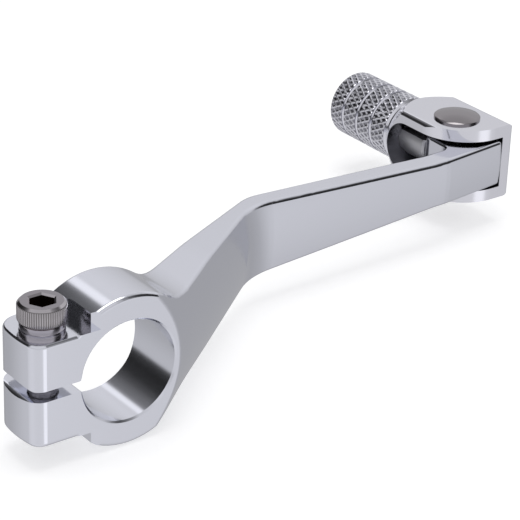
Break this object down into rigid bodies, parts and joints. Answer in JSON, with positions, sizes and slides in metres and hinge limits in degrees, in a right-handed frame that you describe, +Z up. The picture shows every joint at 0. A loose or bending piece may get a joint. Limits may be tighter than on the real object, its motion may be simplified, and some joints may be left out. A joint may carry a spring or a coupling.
{
  "type": "folding gear lever",
  "caption": "Cranked foot lever with a split clamp at one end and a grooved toe peg that folds back on a sprung pivot at the other.",
  "frame": {"origin": "middle of the clamp's bore, half-way along its width", "axes": "+X along the lever to the toe peg, +Y outboard along the peg, +Z up along the clamp screw and the fold pin"},
  "size_m": [0.1651, 0.0917, 0.0349],
  "materials": {
    "polished_forging": "polished",
    "polished_peg": "polished, knurled barrel",
    "plunger_steel": "matte",
    "spring_steel": "drawn wire",
    "stainless_rivet": "satin",
    "stainless_screw": "satin, knurled head"
  },
  "bodies": {
    "lever": {"lever_arm": "polished_forging", "clamp_screw": "stainless_screw"},
    "peg": {"toe_peg": "polished_peg", "pivot_rivet": "stainless_rivet", "return_spring": "spring_steel"},
    "plunger": {"detent_plunger": "plunger_steel"}
  },
  "joints": [
    {"name": "peg_fold", "type": "hinge", "parent": "lever", "child": "peg", "pos_m": [0.1325, 0.04317, 0], "axis": [0, 0, 1], "range_deg": [0, 75], "stiffness_Nm_per_rad": 0.0185, "springref_deg": -100.27},
    {"name": "plunger_slide", "type": "slide", "parent": "peg", "child": "plunger", "axis": [0, 1, 0], "range_m": [0, 0.0023], "deforming": ["return_spring"]}
  ],
  "couplings": [
    {"joint": "plunger_slide", "follows": "peg_fold", "m_per_rad": 0.0017}
  ]
}
